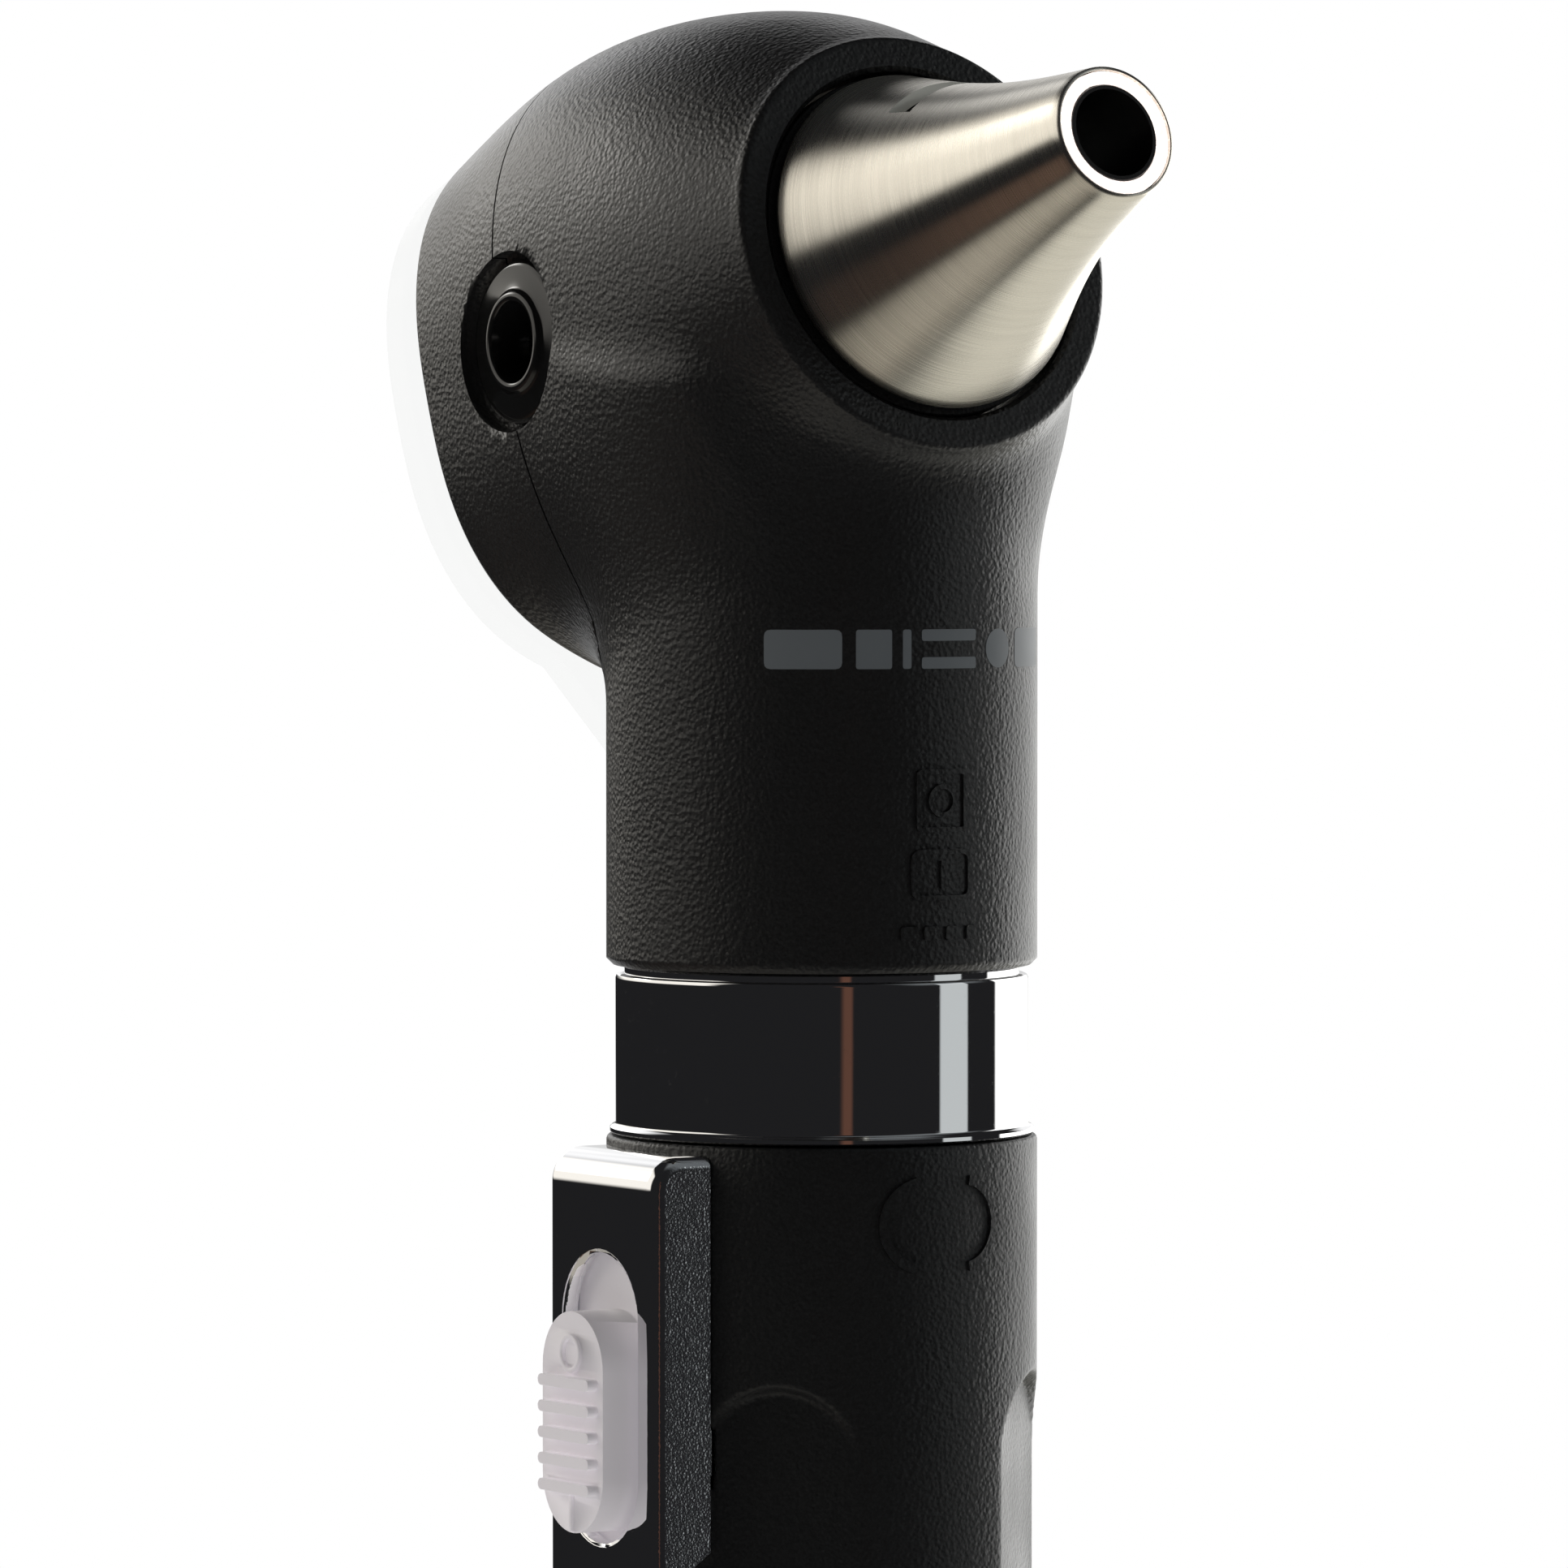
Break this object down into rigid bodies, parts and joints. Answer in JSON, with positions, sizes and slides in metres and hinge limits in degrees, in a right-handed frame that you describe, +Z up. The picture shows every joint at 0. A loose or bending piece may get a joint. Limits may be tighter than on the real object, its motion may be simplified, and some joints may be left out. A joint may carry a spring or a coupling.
{
  "type": "otoscope",
  "caption": "Pocket otoscope: an oval head with a steel speculum cone and a swinging clear window, on a slim battery handle with a pocket clip, slide switch and screw cap.",
  "frame": {"origin": "centre of the flat underside of the end cap, on the axis of the handle", "axes": "+Z up along the handle, -Y the side the cone looks towards, -X the side with the pocket clip, slide switch and insufflation port"},
  "size_m": [0.0249, 0.0463, 0.1725],
  "materials": {
    "black_plastic": "fine leather-like grain, near black",
    "gloss_plastic": "polished black",
    "black_metal": "satin black lacquer",
    "grey_plastic": "satin light grey",
    "chrome": "polished, fine grain on the folds",
    "brushed_steel": "turned and brushed round the axis",
    "aluminium": "machined",
    "contact_metal": "plated contact brass",
    "spring_steel": "drawn wire",
    "rubber": "matt black",
    "socket_nylon": "moulded black nylon",
    "cell_jacket": "plain printed jacket",
    "clear_plastic": "clear moulded acrylic",
    "lamp_glass": "clear dome",
    "fibre_glass": "fibre bundle",
    "fibre_light": "polished fibre ends, lit from inside"
  },
  "bodies": {
    "handle": {"handle_body": "black_plastic", "battery_lower": "cell_jacket", "battery_upper": "cell_jacket", "ground_strip": "contact_metal", "switched_strip": "contact_metal", "bayonet_socket": "socket_nylon", "contact_carrier": "socket_nylon", "contact_spring": "spring_steel", "collar_ring": "chrome", "pocket_clip": "chrome"},
    "switch": {"switch_slider": "grey_plastic", "switch_contact": "contact_metal"},
    "plunger": {"contact_plunger": "contact_metal"},
    "cap_ring": {"cap_seal": "rubber"},
    "cap": {"end_cap": "black_metal", "cap_contact": "contact_metal", "battery_spring": "spring_steel"},
    "head": {"head_housing": "black_plastic", "rear_cover": "black_plastic", "speculum_cone": "brushed_steel", "cone_seat": "black_plastic", "fibre_ring": "fibre_light", "sight_tube": "black_plastic", "light_guide": "fibre_glass", "insufflation_port": "gloss_plastic", "window_gasket": "rubber", "window_pivot_pin": "chrome", "led_lamp": "lamp_glass", "lamp_heat_sink": "aluminium", "lamp_insulator": "socket_nylon", "lamp_contact": "contact_metal", "bayonet_base": "chrome"},
    "window": {"lens_window": "clear_plastic"}
  },
  "joints": [
    {"name": "switch_slide", "type": "slide", "parent": "handle", "child": "switch", "axis": [0, 0, 1], "range_m": [0, 0.0023]},
    {"name": "head_twist", "type": "hinge", "parent": "handle", "child": "head", "pos_m": [0, 0, 0.1305], "axis": [0, 0, 1], "range_deg": [-25, 0]},
    {"name": "lens_swing", "type": "hinge", "parent": "head", "child": "window", "pos_m": [0, 0.00979, 0.13898], "axis": [0, -0.9358, 0.3527], "range_deg": [-60, 60]},
    {"name": "contact_press", "type": "slide", "parent": "handle", "child": "plunger", "axis": [0, 0, -1], "range_m": [0, 0.0008], "stiffness_N_per_m": 150, "springref_m": -0.001, "deforming": ["contact_spring"]},
    {"name": "cap_travel", "type": "slide", "parent": "handle", "child": "cap_ring", "axis": [0, 0, -1], "range_m": [0, 0.0027]},
    {"name": "cap_turn", "type": "hinge", "parent": "cap_ring", "child": "cap", "pos_m": [0, 0, 0], "axis": [0, 0, -1], "range_deg": [0, 540.01]}
  ],
  "couplings": [
    {"joint": "cap_turn", "follows": "cap_travel", "rad_per_m": 3490.7}
  ]
}
